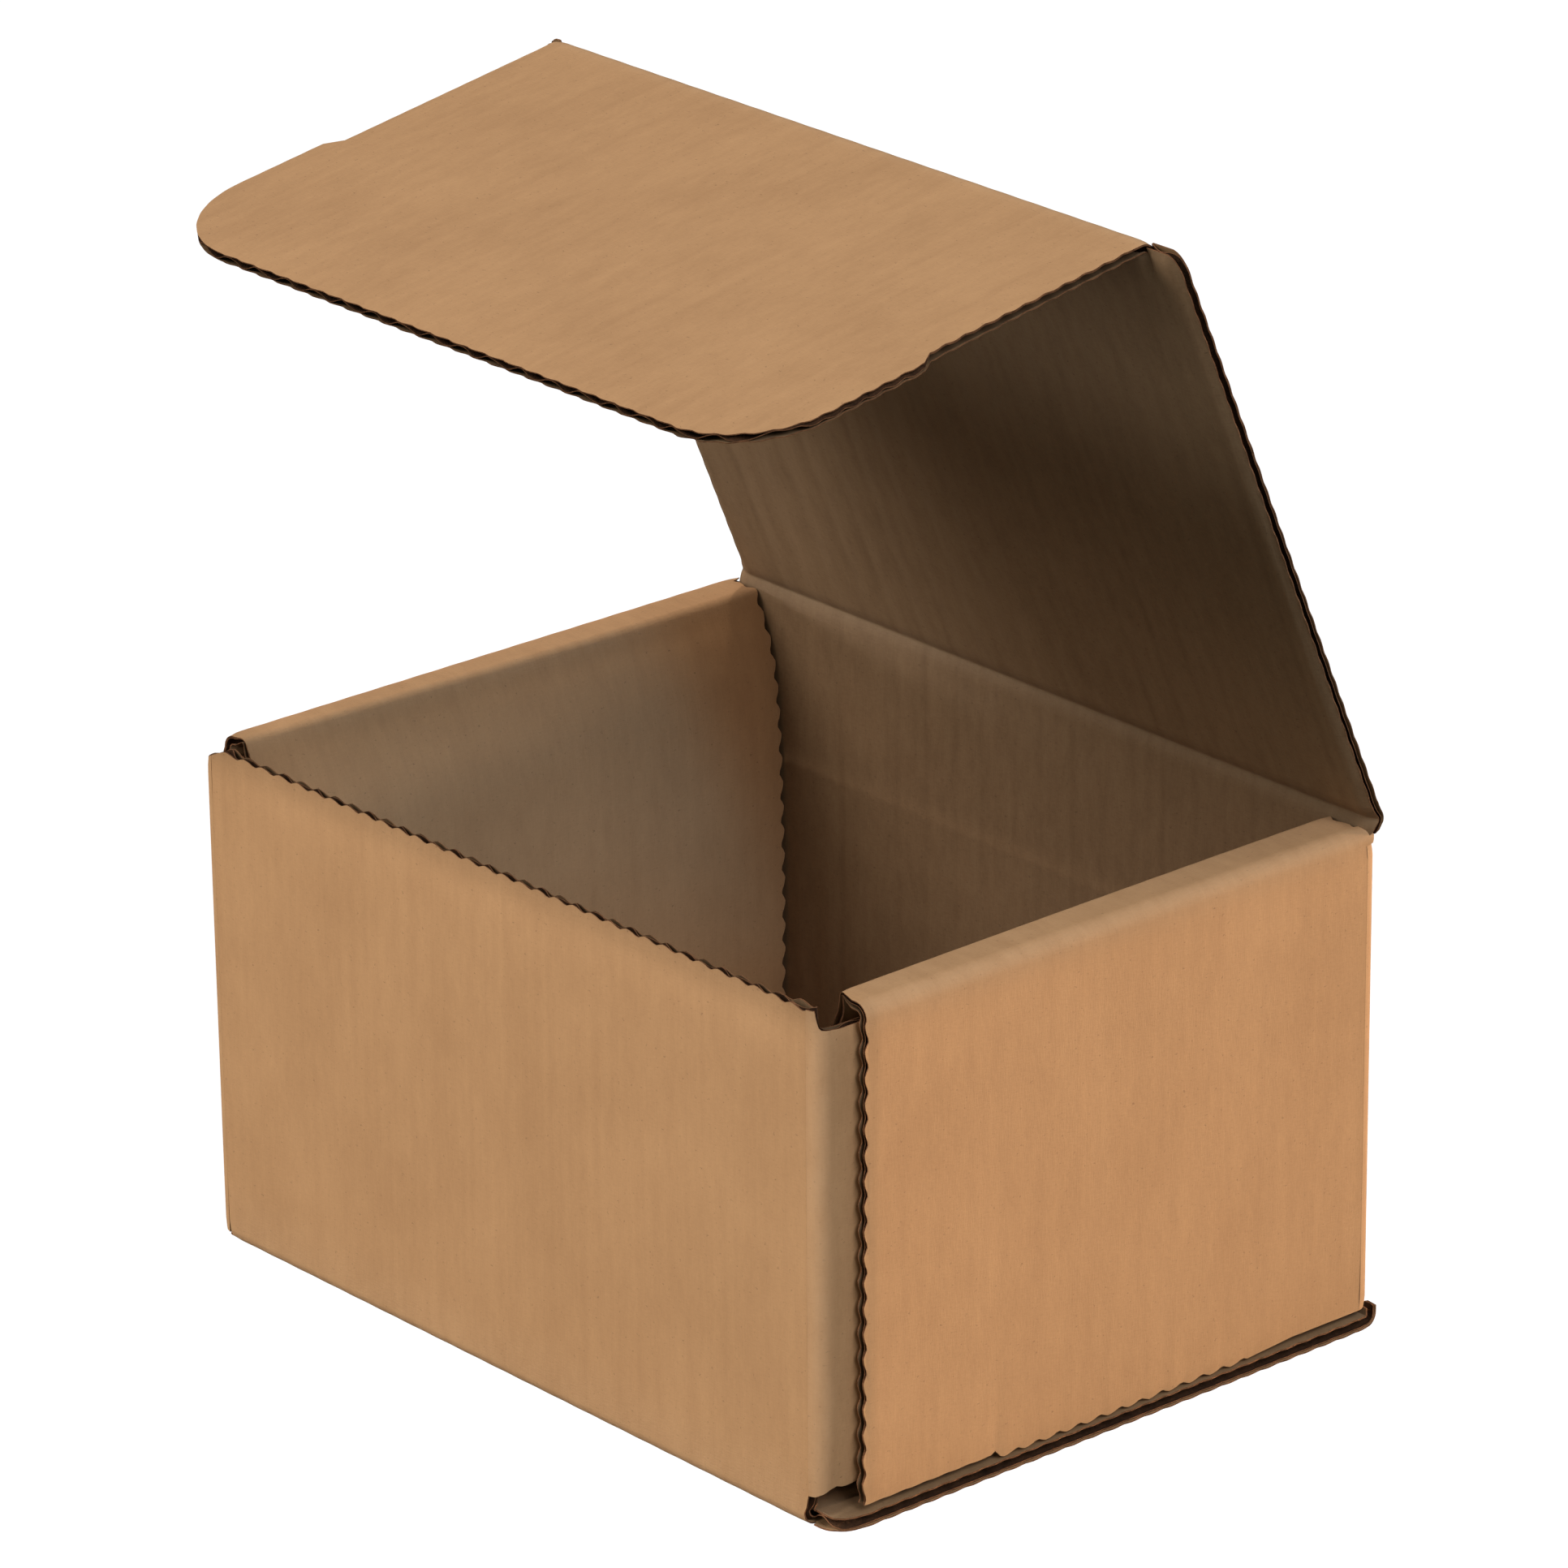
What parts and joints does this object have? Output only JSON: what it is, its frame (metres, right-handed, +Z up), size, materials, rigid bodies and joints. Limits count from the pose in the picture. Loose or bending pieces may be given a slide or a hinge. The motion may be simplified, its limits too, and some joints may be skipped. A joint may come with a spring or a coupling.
{
  "type": "corrugated mailer box",
  "caption": "One-piece die-cut mailer box of brown corrugated board with rolled side walls, a hinged lid and a tuck flap, standing open.",
  "frame": {"origin": "middle of the tray's footprint, on the underside of its bottom", "axes": "+Z up, -Y towards the front wall that the lid closes onto, +X to the right as seen from the front"},
  "size_m": [0.1419, 0.1169, 0.1761],
  "materials": {
    "kraft_board": "matt brown kraft liner, reddish brown cut edges"
  },
  "bodies": {
    "tray": {"tray": "kraft_board"},
    "lid": {"lid": "kraft_board"},
    "tuck_flap": {"tuck_flap": "kraft_board"}
  },
  "joints": [
    {"name": "lid_hinge", "type": "hinge", "parent": "tray", "child": "lid", "pos_m": [0, 0.0519, 0.0814], "axis": [-1, 0, 0], "range_deg": [-58.4, 112.6]},
    {"name": "tuck_fold", "type": "hinge", "parent": "lid", "child": "tuck_flap", "pos_m": [0, 0.01297, 0.17492], "axis": [1, 0, 0], "range_deg": [-76.8, 22.2]}
  ]
}
